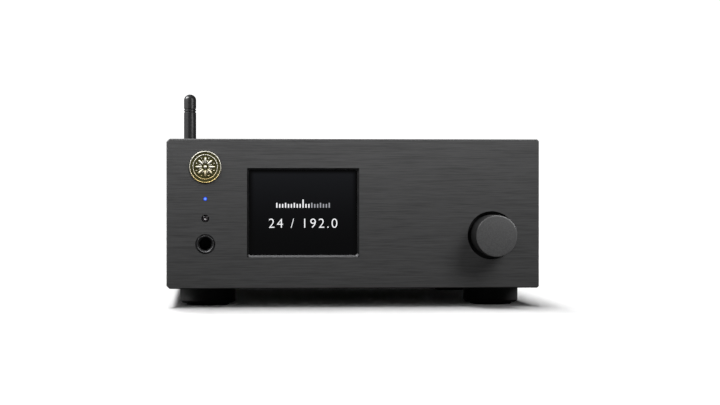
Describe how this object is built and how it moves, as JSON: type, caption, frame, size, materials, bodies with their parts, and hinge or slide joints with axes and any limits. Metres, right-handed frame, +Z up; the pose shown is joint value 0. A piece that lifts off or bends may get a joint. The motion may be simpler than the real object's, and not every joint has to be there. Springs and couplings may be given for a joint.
{
  "type": "desktop dac",
  "caption": "Desktop audio converter with a brushed front panel, square display, headphone socket, push-and-turn knob and a jointed rod antenna at the back.",
  "frame": {"origin": "under the middle of the whole object, on the surface it stands on", "axes": "+X right as seen from the front, +Y to the back, +Z up; the front faces -Y"},
  "size_m": [0.2, 0.2734, 0.1255],
  "materials": {
    "anodised_panel": "brushed sideways, black anodised",
    "knob_metal": "fine blasted, black anodised",
    "cover_paint": "fine-textured black powder coat",
    "chassis_steel": "zinc-plated sheet",
    "rear_paint": "fine-textured black powder coat",
    "black_screw": "black oxide",
    "bright_screw": "nickel plated",
    "foot_shell": "moulded black",
    "foot_rubber": "soft black rubber",
    "badge_gold": "gold-plated relief",
    "lamp_clear": "lit blue light guide",
    "lens_smoke": "smoked infrared lens",
    "collar_nickel": "black nickel",
    "socket_black": "moulded black",
    "screen_glass": "black-backed cover glass",
    "module_metal": "stamped frame",
    "film_amber": "polyimide film",
    "shaft_steel": "turned steel",
    "plunger_white": "moulded acetal",
    "encoder_case": "stamped case",
    "board_green": "lacquered circuit board",
    "part_black": "moulded parts",
    "ribbon_grey": "flat cable",
    "contact_gold": "gold plated",
    "insert_white": "moulded insulator",
    "antenna_grey": "satin moulded rod",
    "winding_copper": "varnished winding under film",
    "wire_brown": "wire insulation",
    "blade_metal": "nickel plated"
  },
  "bodies": {
    "case": {"front_panel": "anodised_panel", "chassis": "chassis_steel", "top_cover": "cover_paint", "rear_panel": "rear_paint", "cover_screws": "black_screw", "rear_screws": "black_screw", "panel_screws": "black_screw", "foot_front_left": "foot_shell", "foot_front_right": "foot_shell", "foot_rear_left": "foot_shell", "foot_rear_right": "foot_shell", "foot_pads": "foot_rubber", "foot_screws": "bright_screw", "badge": "badge_gold", "lamp_guide": "lamp_clear", "receiver_lens": "lens_smoke", "socket_collar": "collar_nickel", "headphone_socket": "socket_black", "display_glass": "screen_glass", "display_module": "module_metal", "display_ribbon": "film_amber", "encoder_body": "encoder_case", "encoder_nut": "bright_screw", "control_board": "board_green", "control_board_spacers": "bright_screw", "control_board_parts": "part_black", "control_ribbon": "ribbon_grey", "balanced_out_left": "socket_black", "balanced_out_right": "socket_black", "balanced_pins": "contact_gold", "phono_out_left": "contact_gold", "phono_out_right": "contact_gold", "phono_in": "contact_gold", "phono_rings": "insert_white", "phono_inserts": "insert_white", "optical_socket": "socket_black", "usb_socket": "blade_metal", "network_socket": "blade_metal", "socket_screws": "bright_screw", "antenna_socket": "contact_gold", "antenna_nut": "contact_gold", "mains_inlet": "socket_black", "mains_blades": "blade_metal", "switch_frame": "socket_black", "mains_wires": "wire_brown", "main_board": "board_green", "main_board_parts": "part_black", "input_board": "board_green", "board_standoffs": "bright_screw", "transformer": "winding_copper", "supply_board": "board_green"},
    "plunger": {"push_plunger": "plunger_white"},
    "knob": {"knob": "knob_metal", "knob_grub_screw": "black_screw", "encoder_shaft": "shaft_steel"},
    "elbow": {"antenna_elbow": "antenna_grey", "antenna_pin": "bright_screw"},
    "antenna": {"antenna_rod": "antenna_grey"},
    "rocker": {"switch_rocker": "socket_black"},
    "shutter": {"optical_shutter": "socket_black"}
  },
  "joints": [
    {"name": "knob_press", "type": "slide", "parent": "case", "child": "plunger", "axis": [0, 1, 0], "range_m": [0, 0.0005], "stiffness_N_per_m": 4000, "springref_m": -0.0005},
    {"name": "knob_turn", "type": "hinge", "parent": "plunger", "child": "knob", "pos_m": [0.0743, -0.11675, 0.0383], "axis": [0, 1, 0], "continuous": true},
    {"name": "antenna_swivel", "type": "hinge", "parent": "case", "child": "elbow", "pos_m": [-0.0893, 0.13275, 0.0553], "axis": [0, 1, 0], "range_deg": [-90, 90]},
    {"name": "antenna_tilt", "type": "hinge", "parent": "elbow", "child": "antenna", "pos_m": [-0.0893, 0.13275, 0.0553], "axis": [-1, 0, 0], "range_deg": [0, 90]},
    {"name": "power_switch", "type": "hinge", "parent": "case", "child": "rocker", "pos_m": [0.06, 0.11165, 0.066], "axis": [-1, 0, 0], "range_deg": [0, 18]},
    {"name": "shutter_swing", "type": "hinge", "parent": "case", "child": "shutter", "pos_m": [0.014, 0.11265, 0.03245], "axis": [-1, 0, 0], "range_deg": [0, 88], "stiffness_Nm_per_rad": 0.0002, "springref_deg": -17.19}
  ]
}
